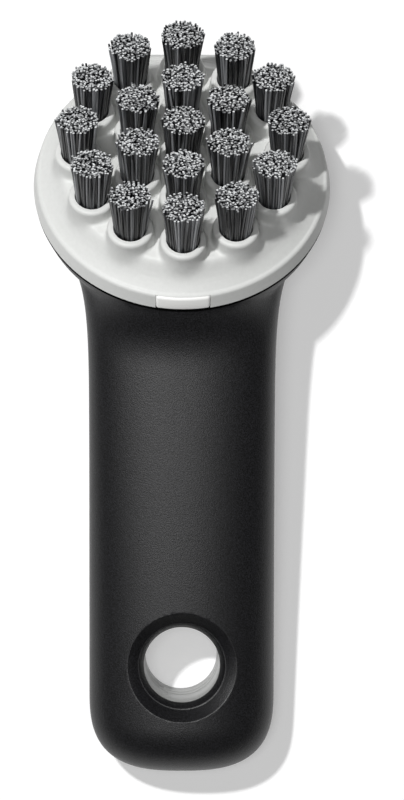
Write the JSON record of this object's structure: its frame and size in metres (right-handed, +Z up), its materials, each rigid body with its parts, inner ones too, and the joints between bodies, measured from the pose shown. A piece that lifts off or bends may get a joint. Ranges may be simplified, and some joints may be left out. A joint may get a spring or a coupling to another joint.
{
  "type": "cast iron brush",
  "caption": "Scrubbing brush with a wide soft handle, a bent round head of stiff bristle tufts in raised sockets, a scraper lip and a hang hole.",
  "frame": {"origin": "centre of the footprint on the ground, under the brush as it lies on its back", "axes": "+Z up, +Y along the brush towards the head, +X to the right seen from above with the head away"},
  "size_m": [0.0762, 0.1936, 0.0629],
  "materials": {
    "soft_black": "matte, finely grained",
    "light_grey": "satin",
    "white": "smooth",
    "nylon": "stiff bristles, paler at the cut tips",
    "wire": "drawn wire"
  },
  "bodies": {
    "root": {"grip": "soft_black", "handle_core": "light_grey", "bristle_plate": "light_grey", "snap_tab": "white", "tuft_centre": "nylon", "tuft_inner_01": "nylon", "tuft_inner_02": "nylon", "tuft_inner_03": "nylon", "tuft_inner_04": "nylon", "tuft_inner_05": "nylon", "tuft_inner_06": "nylon", "tuft_outer_01": "nylon", "tuft_outer_02": "nylon", "tuft_outer_03": "nylon", "tuft_outer_04": "nylon", "tuft_outer_05": "nylon", "tuft_outer_06": "nylon", "tuft_outer_07": "nylon", "tuft_outer_08": "nylon", "tuft_outer_09": "nylon", "tuft_outer_10": "nylon", "tuft_outer_11": "nylon", "tuft_outer_12": "nylon", "anchor_centre": "wire", "anchor_inner_01": "wire", "anchor_inner_02": "wire", "anchor_inner_03": "wire", "anchor_inner_04": "wire", "anchor_inner_05": "wire", "anchor_inner_06": "wire", "anchor_outer_01": "wire", "anchor_outer_02": "wire", "anchor_outer_03": "wire", "anchor_outer_04": "wire", "anchor_outer_05": "wire", "anchor_outer_06": "wire", "anchor_outer_07": "wire", "anchor_outer_08": "wire", "anchor_outer_09": "wire", "anchor_outer_10": "wire", "anchor_outer_11": "wire", "anchor_outer_12": "wire"}
  },
  "joints": []
}
